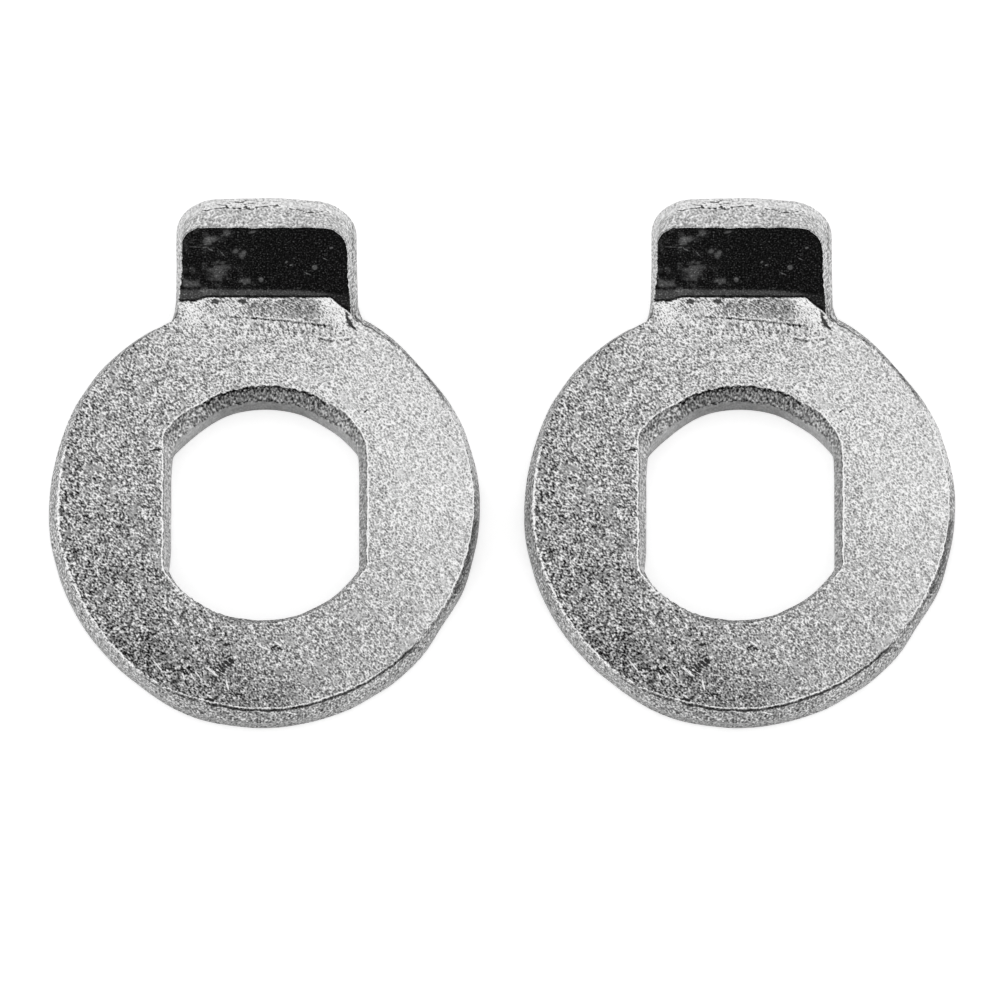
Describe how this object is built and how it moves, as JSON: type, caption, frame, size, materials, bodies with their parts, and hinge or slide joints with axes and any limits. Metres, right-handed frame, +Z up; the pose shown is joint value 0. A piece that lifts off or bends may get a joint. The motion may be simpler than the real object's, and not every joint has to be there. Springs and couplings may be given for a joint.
{
  "type": "pair of torque washers",
  "caption": "Pair of thick stamped steel axle washers, each with a double-D hole and a tab bent up from the rim that stops the axle from turning.",
  "frame": {"origin": "under the middle of the pair's box, on the plane the washers rest on", "axes": "+X to the right along the line of the two holes, +Y towards the tabs, +Z up and along the holes' axes"},
  "size_m": [0.049, 0.0282, 0.0074],
  "materials": {
    "steel": "zinc-plated stamped steel, satin and finely grained, darker on the sheared edges"
  },
  "bodies": {
    "root": {"left_washer": "steel", "right_washer": "steel"}
  },
  "joints": []
}
